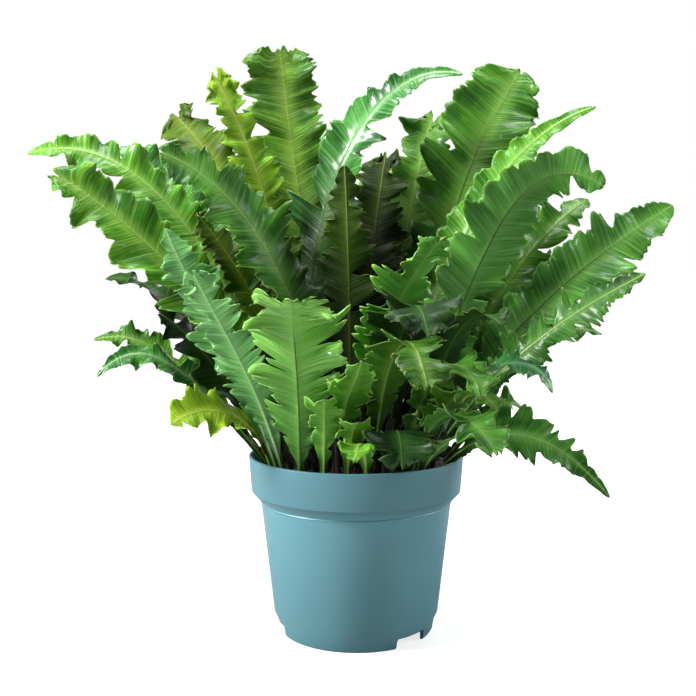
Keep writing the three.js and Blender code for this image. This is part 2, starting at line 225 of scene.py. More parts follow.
# Which of its frond's draws each feature takes. A lobe has ten of its own, and the first three are
# counted within them.
CUT_DRAW = 0
REACH_DRAW = 1
CRIMP_DRAW = 2
DRAWS_PER_LOBE = 10
RUFFLE_DRAW = 20
CURL_DRAW = 24
PLEAT_DRAW = 31
SCALLOP_DRAW = 40
TOOTH_DRAW = 60
SLIT_DRAW = 80
FRINGE_DRAW = 86
TONE_DRAW = 90
HUE_DRAW = 91
CREST_DRAW = 96
DRAWS_PER_TOOTH = 100
LENGTH_DRAWS = 500
PLACE_SEEDS = (301, 302)
STUB_HEIGHT_SEED = 303
STUB_LEAN_SEED = 304

# The camera that took the photograph
PHOTO_SIDE_PX = 696
CAMERA_FOCAL_PX = 966
CAMERA_PLACE = (-6.4, -762.0, 281.0)
CAMERA_DIP_DEG = 4.3

# The planting list. A row is one frond:
# foot x, y | tip x, y, z | rise, fall | width | roll, twist | widest, end, cut | shade
# Rise and fall are the rib's slant from upright at foot and tip, roll turns the blade about its rib,
# twist turns it further towards the tip, all in degrees. Widest is where along the blade its full width
# lies, end is the tip's share of that, and cut the usual depth of the cuts between its lobes.
PLANTING = {
    "top_back": [-18, 18, -64, 70, 474, 10, 8, 64, -35, 0, 0.7, 0.85, 0.4, "green"],
    "young_back": [-33, 3, -114, 16, 442, 6, 30, 36, -60, 0, 0.62, 0.7, 0.45, "young"],
    "olive_back": [-32, 28, -162, 110, 425, 8, 50, 52, -50, 0, 0.62, 0.8, 0.35, "olive"],
    "side_left": [-54, 24, -164, 84, 316, 20, 75, 48, 0, 0, 0.62, 0.4, 0.35, "green"],
    "dusk_left": [-46, 14, -198, 60, 388, 14, 60, 50, -45, 0, 0.62, 0.4, 0.4, "cool"],
    "arch_left": [-22, -14, -142, -60, 369, 4, 75, 62, -60, 0, 0.62, 0.5, 0.45, "green"],
    "whip_left": [-50, 2, -253, -10, 374, 15, 108, 42, -55, 0, 0.7, 0.12, 0.3, "bright"],
    "broad_left": [-48, -14, -220, -60, 354, 22, 62, 60, -55, 0, 0.62, 0.6, 0.3, "bright"],
    "steel_left": [-58, -35, -131, -98, 313, 20, 24, 41, 36, 0, 0.62, 0.4, 0.45, "cool"],
    "peek_left": [-60, 14, -207, 40, 278, 30, 98, 44, -10, 0, 0.66, 0.5, 0.2, "deep"],
    "murk_left": [-57, -6, -151, -22, 252, 32, 55, 48, -40, 0, 0.62, 0.5, 0.4, "deep"],
    "spur_left": [-68, 6, -213, 20, 229, 36, 105, 28, -50, 0, 0.62, 0.2, 0.45, "green"],
    "drip_left": [-66, -10, -195, -40, 205, 36, 140, 24, -50, 0, 0.62, 0.2, 0.3, "cool"],
    "lime_left": [-64, -24, -133, -76, 174, 14, 125, 42, -30, -20, 0.62, 0.4, 0.55, "young"],
    "silver_left": [-53, -47, -112, -105, 284, 17, 30, 43, 28, 0, 0.55, 0.6, 0.4, "cool"],
    "hero_front": [-41, -64, -44, -138, 266, 0, 50, 67, 0, 0, 0.42, 0.9, 0.3, "bright"],
    "shade_left": [-38, -10, -120, -32, 327, 10, 40, 50, -50, 0, 0.62, 0.5, 0.4, "olive"],
    "spine_mid": [-4, -18, -9, -42, 362, 2, 15, 46, 0, 0, 0.5, 0.3, 0.6, "olive"],
    "arch_right": [-22, 11, 80, -20, 432, -16, 106, 66, 62, 0, 0.45, 0.1, 0.45, "cool"],
    "shade_right": [5, 26, 26, 60, 385, 2, 20, 50, 20, 0, 0.62, 0.7, 0.5, "olive"],
    "lobe_back": [22, 38, 68, 80, 420, 6, 25, 52, 30, 0, 0.62, 0.8, 0.3, "green"],
    "fan_right": [36, 6, 134, 34, 446, 10, 38, 78, 60, 0, 0.8, 0.5, 0.3, "green"],
    "wave_right": [32, -10, 181, -20, 408, 8, 75, 38, 60, 0, 0.5, 0.15, 0.2, "bright"],
    "hook_right": [30, -24, 170, -90, 342, 24, 125, 56, -50, 0, 0.55, 0.42, 0.4, "green"],
    "far_right": [48, -4, 251, 10, 336, 30, 58, 55, 60, 0, 0.62, 0.3, 0.3, "green"],
    "behind_right": [50, 24, 200, 76, 346, 26, 62, 50, 40, 0, 0.62, 0.4, 0.35, "green"],
    "side_right": [47, 14, 160, 60, 362, 18, 70, 52, 45, 0, 0.62, 0.4, 0.35, "bright"],
    "feather_right": [54, -12, 206, -70, 282, 30, 62, 38, 60, 0, 0.62, 0.2, 0.4, "green"],
    "peek_right": [58, 20, 210, 60, 231, 40, 110, 30, 30, 0, 0.62, 0.3, 0.3, "green"],
    "teal_right": [54, -32, 138, -84, 198, 14, 160, 32, 20, 0, 0.62, 0.2, 0.45, "cool"],
    "nook_right": [66, 4, 134, 10, 175, 42, 120, 32, 20, 0, 0.62, 0.4, 0.3, "green"],
    "low_right": [62, -22, 186, -62, 118, 41, 140, 40, 32, 24, 0.36, 0.16, 0.5, "green"],
    "curl_mid": [-3, -38, 56, -126, 306, 8, 60, 48, 0, 0, 0.55, 0.55, 0.35, "bright"],
    "nest_mid": [21, -13, 40, -54, 290, 4, 40, 46, 6, 0, 0.42, 0.5, 0.4, "deep"],
    "face_mid": [24, -34, 43, -170, 243, 8, 140, 50, 0, 0, 0.62, 0.8, 0.6, "deep"],
    "gloss_mid": [45, -26, 94, -134, 248, 16, 120, 32, 0, 0, 0.62, 0.5, 0.35, "deep"],
    "plume_right": [36, -40, 78, -156, 204, 16, 140, 38, 0, 0, 0.62, 0.6, 0.55, "green"],
    "drop_mid": [12, -50, 40, -200, 214, 16, 145, 42, 0, 0, 0.62, 0.6, 0.4, "green"],
    "bend_right": [43, -43, 92, -128, 192, 20, 130, 42, 0, 0, 0.62, 0.5, 0.5, "green"],
    "drop_right": [24, -58, 29, -137, 154, 22, 165, 47, 0, 0, 0.62, 0.6, 0.6, "deep"],
    "rim_right": [44, -54, 98, -116, 172, 24, 100, 36, 0, 0, 0.62, 0.5, 0.4, "green"],
    "tuck_right": [39, -50, 88, -158, 167, 22, 135, 37, 0, 0, 0.62, 0.6, 0.4, "green"],
    "finger_mid": [-16, -46, 2, -146, 226, 14, 50, 30, 0, 0, 0.62, 0.4, 0.3, "bright"],
    "sprout_left": [-24, -64, -22, -135, 200, 14, 70, 24, 0, 0, 0.62, 0.4, 0.3, "bright"],
    "sprout_mid": [-7, -62, 0, -130, 184, 20, 80, 24, 0, 0, 0.62, 0.4, 0.3, "bright"],
    "frill_mid": [8, -66, -2, -142, 160, 24, 120, 24, 0, 0, 0.62, 0.5, 0.3, "bright"],
    "back_a": [46, 34, 180, 130, 300, 32, 90, 56, 0, 0, 0.62, 0.4, 0.4, "green"],
    "back_b": [42, 50, 140, 168, 255, 36, 105, 50, 0, 0, 0.62, 0.4, 0.35, "deep"],
    "back_c": [24, 48, 95, 196, 310, 28, 90, 58, 0, 0, 0.62, 0.4, 0.4, "bright"],
    "back_d": [6, 62, 30, 203, 250, 36, 105, 52, 0, 0, 0.62, 0.4, 0.4, "green"],
    "back_e": [-12, 48, -30, 204, 300, 28, 90, 60, 0, 0, 0.62, 0.4, 0.35, "cool"],
    "back_f": [-28, 58, -90, 192, 245, 36, 105, 50, 0, 0, 0.62, 0.4, 0.4, "bright"],
    "back_g": [-42, 38, -140, 160, 300, 28, 90, 56, 0, 0, 0.62, 0.4, 0.35, "green"],
    "back_h": [-58, 36, -170, 112, 250, 34, 105, 48, 0, 0, 0.62, 0.4, 0.4, "deep"],
    "rear_right": [38, 30, 116, 112, 384, 14, 60, 56, 20, 0, 0.62, 0.5, 0.4, "cool"],
    "rear_mid": [6, 42, 34, 139, 378, 12, 60, 56, 0, 0, 0.62, 0.5, 0.35, "green"],
    "rear_left": [-22, 37, -74, 136, 396, 12, 60, 56, -16, 0, 0.62, 0.5, 0.4, "bright"],
}

# Share of the half width that the fingers of a fringed frond are cut by
FRINGES = {
    "hero_front": 0.7,
    "young_back": 0.3,
    "olive_back": 0.12,
    "shade_left": 0.45,
    "steel_left": 0.4,
    "silver_left": 0.45,
    "spur_left": 0.4,
    "spine_mid": 0.4,
    "shade_right": 0.3,
    "arch_left": 0.3,
    "top_back": 0.15,
    "feather_right": 0.4,
    "teal_right": 0.35,
    "low_right": 0.06,
    "curl_mid": 0.35,
    "finger_mid": 0.3,
    "drop_mid": 0.15,
    "bend_right": 0.15,
    "drop_right": 0.15,
    "back_c": 0.3,
    "back_f": 0.3,
}

# Fronds painted lighter or darker than their shade: above 0 is painted light, below 0 painted shade.
# The others get a small random tone of their own.
PAINTED_LIGHT_AND_SHADE = {
    "hero_front": 0.85,
    "silver_left": 0.65,
    "steel_left": 0.35,
    "hook_right": 0.4,
    "olive_back": -0.25,
    "drop_mid": -0.4,
    "feather_right": -0.45,
    "far_right": 0.15,
    "arch_right": -0.1,
    "arch_left": -0.1,
    "spine_mid": -0.55,
    "shade_left": -0.4,
    "shade_right": -0.6,
    "nest_mid": -0.6,
    "murk_left": -0.6,
    "face_mid": -0.35,
    "drop_right": -0.2,
}

# Fronds that are yellower (above 0) or bluer (below 0) than their shade
HUES = {
    "hero_front": -0.3,
    "top_back": 0.45,
    "olive_back": 0.35,
    "dusk_left": 0.3,
    "shade_left": 0.5,
    "arch_left": -0.3,
    "broad_left": 0.15,
    "steel_left": -0.15,
    "silver_left": -0.1,
    "curl_mid": -0.5,
    "hook_right": -0.5,
    "far_right": -0.45,
    "side_right": -0.4,
    "feather_right": -0.5,
    "teal_right": -0.6,
    "low_right": -0.5,
    "plume_right": -0.3,
    "bend_right": 0.3,
    "drop_right": -0.3,
    "tuck_right": -0.4,
}

# Fronds whose rib shows as a thin dark line. The others have a pale one.
DARK_RIBS = {
    "hero_front",
    "hook_right",
    "wave_right",
    "far_right",
    "fan_right",
    "back_b",
    "rear_right",
    "side_left",
}

# The heart of the plant: its middle and half sizes in metres. Blades in it are painted dark, as painted
# shade, and are dull.
HEART = (0.005, 0.02, 0.24)
HEART_SIZE = (0.115, 0.075, 0.16)

# Colours as 0xRRGGBB. A shade of frond has six: blade, deep, pale, rib, underside and dark rib.
# After them come how far its veins stand out, its roughness and its gloss coat.
SHADES = {
    "young": (0x8CB422, 0x5E8A14, 0xB4CC48, 0xB8CA66, 0x7CA028, 0x3A3812, 0.45, 0.44, 0.1),
    "bright": (0x5FA024, 0x33741A, 0x9CCB5A, 0xA8C66C, 0x5E962C, 0x161B0C, 0.55, 0.36, 0.24),
    "green": (0x4E8722, 0x2A5C16, 0x86B24C, 0x90AC58, 0x4A8026, 0x0E120A, 0.45, 0.38, 0.2),
    "cool": (0x468A30, 0x225A20, 0x90C67A, 0x98BE7A, 0x488636, 0x10160E, 0.55, 0.28, 0.42),
    "olive": (0x55801A, 0x304C10, 0x86A832, 0x96A24C, 0x4E741A, 0x18180B, 0.4, 0.5, 0.06),
    "deep": (0x284C18, 0x142C0E, 0x46702E, 0x5E803A, 0x284A1A, 0x0A0D08, 0.3, 0.48, 0.1),
}
# A whitish painted sheen for the streaks of fronds painted lighter
PAINTED_SHEEN = 0xCDE8A4
# Painted shade that the heart of the plant darkens its blades with
HEART_PAINTED_SHADE = 0x524D2E
STALK_FOOT = 0x2E2616
PLASTIC = 0x5E929E
PLASTIC_PATCH = 0x528592
# Painted shade on the collar, as cast by the fronds over it
PLASTIC_COLLAR_SHADE = 0x48727E
PLASTIC_SCUFF = 0x88AEB8
PEAT = 0x0D0A07
PEAT_CRUMB = 0x2C2118
PEAT_DAMP = 0x241A12
BARK = 0x0B0805
BARK_FIBRE = 0x2A1E12
BARK_PATCH = 0x1E1A10

# What a hue of 1 or of -1 multiplies a blade's colour by
WARM = (1.45, 1.06, 0.8, 1)
COOL = (0.8, 1.08, 1.9, 1)

# Lamps: place in metres, width in metres, watts, tint. All face the middle of the plant.
LAMP_TARGET = (0, 0, 0.28)
LAMPS = {
    "key": ((-1.6, -0.5, 1.15), 0.6, 66, (1.0, 1.0, 0.98)),
    "top": ((-0.2, 0.0, 1.7), 0.9, 30, (0.98, 1.0, 1.0)),
    "rim": ((1.6, 0.1, 0.8), 0.9, 20, (0.96, 0.99, 1.0)),
    "fill": ((0.2, -1.7, 0.3), 1.2, 1.5, (0.97, 0.99, 1.0)),
    "back": ((0.5, 1.7, 0.9), 1.2, 16, (0.97, 0.99, 1.0)),
}

# A narrow soft beam on the pale fronds in front
BEAM_PLACE = (-1.1, -1.1, 0.8)
BEAM_TARGET = (-0.07, -0.12, 0.285)
BEAM_DEG = 9
BEAM_WIDTH = 0.12
BEAM_WATTS = 105


def colour(code):
    """The linear values that shaders use, for a colour given as 0xRRGGBB."""
    shares = [((code >> shift) & 255) / 255 for shift in (16, 8, 0)]
    linear = [s / 12.92 if s <= 0.04045 else ((s + 0.055) / 1.055) ** 2.4 for s in shares]
    return (*linear, 1.0)


# Blender's tools, used as by hand
def deselect():
    bpy.ops.object.select_all(action="DESELECT")


def edit_all():
    bpy.ops.object.mode_set(mode="EDIT")
    bpy.ops.mesh.select_all(action="SELECT")


def leave_edit():
    bpy.ops.object.mode_set(mode="OBJECT")


def apply_modifier(piece, kind, **settings):
    modifier = piece.modifiers.new(kind.title(), kind)
    for name, value in settings.items():
        setattr(modifier, name, value)
    bpy.context.view_layer.objects.active = piece
    bpy.ops.object.modifier_apply(modifier=modifier.name)


def settle(piece):
    """Puts a piece's place into its mesh."""
    deselect()
    piece.select_set(True)
    bpy.context.view_layer.objects.active = piece
    bpy.ops.object.transform_apply(location=True, rotation=True, scale=True)


def place(piece, name, material, node):
    """Names a finished piece, gives it its finish and lets it stand for its CAD node."""
    piece.name = name
    piece.data.name = name
    piece.data.materials.clear()
    piece.data.materials.append(material)
    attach(piece, "root")
    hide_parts(node)


def turned(profile, segments):
    """A closed body of revolution about Z: rings of [radius, height], each extruded from the last."""
    deselect()
    radius, height = profile[0]
    bpy.ops.mesh.primitive_circle_add(
        vertices=segments, radius=radius * MM, fill_type="NOTHING", location=(0, 0, height * MM)
    )
    piece = bpy.context.object
    edit_all()
    for next_radius, next_height in profile[1:]:
        bpy.ops.mesh.extrude_region_move(
            TRANSFORM_OT_translate={"value": (0, 0, (next_height - height) * MM)}
        )
        share = next_radius / radius
        bpy.ops.transform.resize(value=(share, share, 1), center_override=(0, 0, next_height * MM))
        radius, height = next_radius, next_height
    bpy.ops.mesh.select_all(action="SELECT")
    bpy.ops.mesh.fill_holes(sides=0)
    bpy.ops.mesh.normals_make_consistent(inside=False)
    leave_edit()
    settle(piece)
    return piece


# Shader nodes
def group_of(name, inputs, outputs):
    """An empty node group with its sockets, given as {name: (kind, default)} and {name: kind}."""
    group = bpy.data.node_groups.new(name, "ShaderNodeTree")
    for socket, (kind, default) in inputs.items():
        made = group.interface.new_socket(socket, in_out="INPUT", socket_type="NodeSocket" + kind)
        made.default_value = default
    for socket, kind in outputs.items():
        group.interface.new_socket(socket, in_out="OUTPUT", socket_type="NodeSocket" + kind)
    start = group.nodes.new("NodeGroupInput")
    end = group.nodes.new("NodeGroupOutput")
    return group, start.outputs, end.inputs


class Nodes:
    """Short ways to add nodes to one tree."""

    def __init__(self, tree):
        self.tree = tree

    def add(self, kind, **settings):
        node = self.tree.nodes.new("ShaderNode" + kind)
        for name, value in settings.items():
            setattr(node, name, value)
        return node

    def link(self, value, socket):
        if isinstance(value, bpy.types.NodeSocket):
            self.tree.links.new(value, socket)
        else:
            socket.default_value = value

    def math(self, operation, a, b=0.0, c=0.0):
        node = self.add("Math", operation=operation)
        for socket, value in zip(node.inputs, (a, b, c)):
            self.link(value, socket)
        return node.outputs[0]

    def mix(self, factor, a, b, blend="MIX"):
        node = self.add("Mix", data_type="RGBA", blend_type=blend, clamp_factor=True)
        self.link(factor, node.inputs["Factor"])
        self.link(a, node.inputs[6])
        self.link(b, node.inputs[7])
        return node.outputs[2]

    def ramp(self, value, low, high, to_low=0.0, to_high=1.0):
        node = self.add("MapRange", interpolation_type="SMOOTHSTEP")
        sockets = ("Value", "From Min", "From Max", "To Min", "To Max")
        for name, number in zip(sockets, (value, low, high, to_low, to_high)):
            self.link(number, node.inputs[name])
        return node.outputs[0]

    def noise(self, vector, scale, detail=2.0, roughness=0.5, distortion=0.0):
        node = self.add("TexNoise")
        self.link(vector, node.inputs["Vector"])
        values = {"Scale": scale, "Detail": detail, "Roughness": roughness, "Distortion": distortion}
        for name, number in values.items():
            self.link(number, node.inputs[name])
        return node.outputs["Fac"]

    def attribute(self, name):
        return self.add("Attribute", attribute_name=name).outputs["Fac"]

    def objects(self):
        return self.add("TexCoord").outputs["Object"]

    def group(self, tree, **values):
        node = self.add("Group", node_tree=tree)
        for name, value in values.items():
            self.link(value, node.inputs[name.replace("_", " ")])
        return node.outputs


def surface(name, roughness=0.5, specular=0.5):
    """A material with one Principled shader, and a Bump in front of its normal."""
    material = bpy.data.materials.new(name)
    material.use_nodes = True
    nodes = Nodes(material.node_tree)
    shader = material.node_tree.nodes["Principled BSDF"]
    shader.inputs["Roughness"].default_value = roughness
    shader.inputs["Specular IOR Level"].default_value = specular
    bump = nodes.add("Bump")
    nodes.link(bump.outputs["Normal"], shader.inputs["Normal"])
    return material, nodes, shader.inputs, bump.inputs


def blade_pattern():
    """Colour, roughness and relief of a blade: veins that run out from the rib, a pale or dark rib,
    a painted highlight along the margin and a duller underside. Its tone paints it lighter or darker,
    and painted shade darkens it towards its foot and in the heart of the plant. Open falls from 1
    outside to 0 in the heart of the plant."""
    inputs = {
        "Blade": ("Color", (0.1, 0.3, 0.05, 1)),
        "Deep": ("Color", (0.03, 0.12, 0.02, 1)),
        "Pale": ("Color", (0.3, 0.5, 0.15, 1)),
        "Rib": ("Color", (0.4, 0.55, 0.25, 1)),
        "Under": ("Color", (0.1, 0.3, 0.08, 1)),
        "Dark Rib": ("Color", (0.02, 0.02, 0.01, 1)),
        "Streaks": ("Float", 0.6),
        "Gloss": ("Float", 0.3),
    }
    outputs = {"Colour": "Color", "Roughness": "Float", "Height": "Float", "Open": "Float"}
    tree, given, made = group_of("blade_pattern", inputs, outputs)
    n = Nodes(tree)
    plan = n.add("UVMap", uv_map="UVMap").outputs["UV"]
    margin = n.attribute("margin")
    rib = n.attribute("rib")
    under = n.attribute("under")
    tone_and_painted_light = n.attribute("tone_and_painted_light")
    hue = n.attribute("hue")
    growth = n.attribute("growth")
    dark = n.attribute("dark")

    def along_veins(across_scale, length_scale):
        mapping = n.add("Mapping")
        n.link(plan, mapping.inputs["Vector"])
        mapping.inputs["Scale"].default_value = (across_scale, length_scale, 1)
        return mapping.outputs["Vector"]

    broad = n.noise(along_veins(42.0, 1.0), 1.0, detail=3.0, roughness=0.7)
    fine = n.noise(along_veins(96.0, 2.0), 1.0, detail=2.0, roughness=0.6)
    patches = n.noise(n.objects(), 34.0, detail=3.0)
    near_rib = n.ramp(margin, 0.1, 0.95, 1.0, 0.55)
    strength = n.math("MULTIPLY", given["Streaks"], near_rib)
    streak = n.math("MULTIPLY", n.ramp(broad, 0.48, 0.64), strength)
    base = n.mix(n.ramp(patches, 0.36, 0.6), given["Deep"], given["Blade"])
    # Painted light: a positive tone mixes the blade towards its pale colour, and its streaks towards
    # the painted sheen.
    lightened = n.math("MAXIMUM", tone_and_painted_light, 0.0)
    base = n.mix(n.math("MULTIPLY", lightened, 0.6), base, given["Pale"])
    base = n.mix(streak, base, n.mix(lightened, given["Pale"], colour(PAINTED_SHEEN)))
    base = n.mix(n.ramp(broad, 0.48, 0.34, 0.0, 0.9), base, given["Deep"])
    base = n.mix(n.ramp(fine, 0.5, 0.66, 0.0, 0.55), base, given["Deep"])
    base = n.mix(n.ramp(margin, 0.0, 0.45, 0.45, 0.0), base, given["Pale"])
    base = n.mix(n.math("MULTIPLY", under, 0.45), base, given["Under"])
    # Painted shade: a negative tone scales the colour down.
    shaded = n.add("VectorMath", operation="SCALE")
    n.link(base, shaded.inputs[0])
    n.link(n.math("ADD", n.math("MINIMUM", tone_and_painted_light, 0.0), 1.0), shaded.inputs["Scale"])
    warmed = n.mix(n.math("MAXIMUM", hue, 0.0), shaded.outputs[0], WARM, blend="MULTIPLY")
    cooled = n.mix(n.math("MULTIPLY", hue, -1.0), warmed, COOL, blend="MULTIPLY")
    # Painted highlight: a thin pale line along the margin, where the edge catches the light.
    edge_highlighted = n.mix(n.ramp(margin, 0.96, 0.998, 0.0, 0.5), cooled, given["Rib"])
    # Painted shade: blades darken towards their foot, deep in the plant.
    shadowed = n.mix(n.ramp(growth, 0.06, 0.5, 0.85, 0.0), edge_highlighted, given["Deep"], blend="MULTIPLY")
    rib_colour = n.mix(dark, given["Rib"], given["Dark Rib"])
    ribbed = n.mix(n.ramp(rib, 0.5, 0.9, 0.0, 0.7), shadowed, rib_colour)
    # Painted shade: blades darken, and lose their gloss coat, towards the heart of the plant.
    from_heart = n.add("VectorMath", operation="SUBTRACT")
    n.link(n.objects(), from_heart.inputs[0])
    from_heart.inputs[1].default_value = HEART
    shares = n.add("VectorMath", operation="DIVIDE")
    n.link(from_heart.outputs[0], shares.inputs[0])
    shares.inputs[1].default_value = HEART_SIZE
    away = n.add("VectorMath", operation="LENGTH")
    n.link(shares.outputs[0], away.inputs[0])
    heart = n.ramp(away.outputs["Value"], 0.5, 1.1, 0.95, 0.0)
    heart_shaded = n.mix(heart, ribbed, colour(HEART_PAINTED_SHADE), blend="MULTIPLY")
    n.link(n.math("SUBTRACT", 1.0, heart), made["Open"])
    foot = n.mix(n.ramp(growth, 0.0, 0.14, 0.6, 0.0), heart_shaded, colour(STALK_FOOT))
    n.link(foot, made["Colour"])
    rough = n.math("ADD", given["Gloss"], n.ramp(fine, 0.3, 0.8, -0.04, 0.12))
    n.link(n.math("ADD", rough, n.math("MULTIPLY", under, 0.06)), made["Roughness"])
    height = n.math("ADD", n.math("MULTIPLY", fine, 0.5), n.math("MULTIPLY", broad, 0.9))
    n.link(height, made["Height"])
    return tree


def blade_materials():
    tree = blade_pattern()
    names = ("Blade", "Deep", "Pale", "Rib", "Under", "Dark_Rib")
    made = {}
    for shade, (*codes, streaks, gloss, coat) in SHADES.items():
        material, nodes, shader, bump = surface("frond_" + shade, specular=0.12)
        shader["Coat Roughness"].default_value = 0.18
        shader["Subsurface Weight"].default_value = 0.08
        shader["Subsurface Radius"].default_value = (0.5, 1.0, 0.2)
        shader["Subsurface Scale"].default_value = 1.5 * MM
        colours = dict(zip(names, map(colour, codes)))
        out = nodes.group(tree, Streaks=streaks, Gloss=gloss, **colours)
        nodes.link(out["Colour"], shader["Base Color"])
        nodes.link(out["Roughness"], shader["Roughness"])
        nodes.link(nodes.math("MULTIPLY", out["Open"], coat), shader["Coat Weight"])
        nodes.link(out["Height"], bump["Height"])
        bump["Strength"].default_value = 0.8
        bump["Distance"].default_value = 1.2 * MM
        made[shade] = material
    return made


# Fronds
def mat_top(radius):
    """The crown's height at a distance from its axis."""
    share = min(radius / MAT_RADIUS, 1)
    return SOIL_HEIGHT + FIT_GAP + MAT_EDGE + (MAT_CROWN - MAT_EDGE) * (1 - share * share)


def draw(seed, n):
    """A repeatable number from 0 to 1: one draw of one frond."""
    s = np.sin(seed * 12.9898 + np.asarray(n, float) * 78.233) * 43758.5453
    return s - np.floor(s)


def unit(v):
    return v / np.linalg.norm(v, axis=-1, keepdims=True)


def dot(a, b):
    return (a * b).sum(-1, keepdims=True)


class Rib:
    """A frond's rib: its curve, and the blade's own directions along it."""

    DIVISIONS = 200

    def __init__(self, row):
        foot_x, foot_y, tip_x, tip_y, tip_z, rise, fall, _, self.roll, self.twist = row[:10]
        foot = np.array([foot_x, foot_y, mat_top(math.hypot(foot_x, foot_y)) - SOCKET_DEPTH])
        tip = np.array([tip_x, tip_y, tip_z], float)
        bearing = math.atan2(tip_y - foot_y, tip_x - foot_x)
        arch = (1 + ARCH_GAIN * max(0, fall - 90)) * np.linalg.norm(tip - foot)

        def slanted(degrees):
            tilt = math.radians(degrees)
            return np.array(
                [math.sin(tilt) * math.cos(bearing), math.sin(tilt) * math.sin(bearing), math.cos(tilt)]
            )

        first = foot + slanted(rise) * FOOT_PULL * arch
        last = tip - slanted(fall) * TIP_PULL * arch
        self.points = np.array([foot, first, last, tip])
        self.level = np.array([-math.sin(bearing), math.cos(bearing), 0])
        self.steps = np.linspace(0, 1, self.DIVISIONS + 1)
        gone = np.linalg.norm(np.diff(self.curve(self.steps), axis=0), axis=1)
        self.gone = np.concatenate([[0], np.cumsum(gone)])
        self.length = self.gone[-1]

    def curve(self, t):
        t = np.asarray(t)[:, None]
        left = 1 - t
        p = self.points
        return left**3 * p[0] + 3 * left**2 * t * p[1] + 3 * left * t**2 * p[2] + t**3 * p[3]

    def slope(self, t):
        t = np.asarray(t)[:, None]
        p = np.diff(self.points, axis=0)
        return (1 - t) ** 2 * p[0] + 2 * (1 - t) * t * p[1] + t**2 * p[2]

    def frames(self, u):
        t = np.interp(u * self.length, self.gone, self.steps)
        along = unit(self.slope(t))
        flat = unit(self.level - along * dot(along, self.level))
        up = np.cross(along, flat)
        turn = np.radians(self.roll + self.twist * u)[:, None]
        across = flat * np.cos(turn) + up * np.sin(turn)
        return self.curve(t), across, np.cross(along, across), along


def width_share(u, leaf):
    """Share of the full width along a blade: 0 at its start, 1 at its widest, then down to the tip's.
    A blade that is widest low down runs out in a drawn-out tail."""
    s = (u - BLADE_START) / (1 - BLADE_START)
    widest, end = leaf["widest"], leaf["end"]
    rising = np.sin(np.clip(s / widest, 0, 1) * math.pi / 2)
    past = np.clip((s - widest) / (1 - widest), 0, 1)
    falling = np.cos(past * math.pi / 2) ** (USUALLY_WIDEST_AT / widest)
    return np.where(s < widest, rising, end + (1 - end) * falling)


def cuts_of(seed, lobes):
    """Shares of a frond's length where its blade is cut, at unequal steps: the right margin at the even
    ones, the left margin at the odd ones."""
    steps = 1 + LOBE_LENGTH_SPREAD * (2 * draw(seed, LENGTH_DRAWS + np.arange(2 * lobes)) - 1)
    ends = np.concatenate([[0], np.cumsum(steps)])
    return 1 - (1 - BLADE_START) * (1 - ends / ends[-1])


def waves(distance, length, seed, n):
    """A wave of uneven height, about -1 to 1."""
    phase = 2 * math.pi * draw(seed, n)
    beat = 2 * math.pi * draw(seed, n + 1)
    turns = 2 * math.pi * distance / length
    return np.sin(turns + phase) * (1 - WAVE_VARIES + WAVE_VARIES * np.sin(WAVE_BEAT * turns + beat))


def arcs(distance, length, seed, n):
    """A row of uneven round arcs with sharp nicks between them, about -0.6 to 0.4."""
    warped = distance + STEP_WARP * length * waves(distance, ARC_WARP_LENGTH * length, seed, n)
    count = warped / length + START_SPREAD * draw(seed, n)
    size = ARC_LEAST + ARC_VARIES * draw(seed, DRAWS_PER_TOOTH * n + np.floor(count))
    return size * (np.sqrt(np.abs(np.sin(count * math.pi))) - ARC_MIDDLE)


def slits(distance, step, sharpness, seed, n):
    """Narrow nicks, 0 to 1 deep, at uneven steps along a margin."""
    warp = STEP_WARP * waves(distance, SLIT_WARP_LENGTH * step, seed, n)
    count = distance / step + warp + START_SPREAD * draw(seed, n)
    depth = draw(seed, DRAWS_PER_TOOTH * n + np.floor(count + 0.5)) ** SLIT_RARITY
    return (SLIT_LEAST + SLIT_VARIES * depth) * np.abs(np.cos(count * math.pi)) ** sharpness


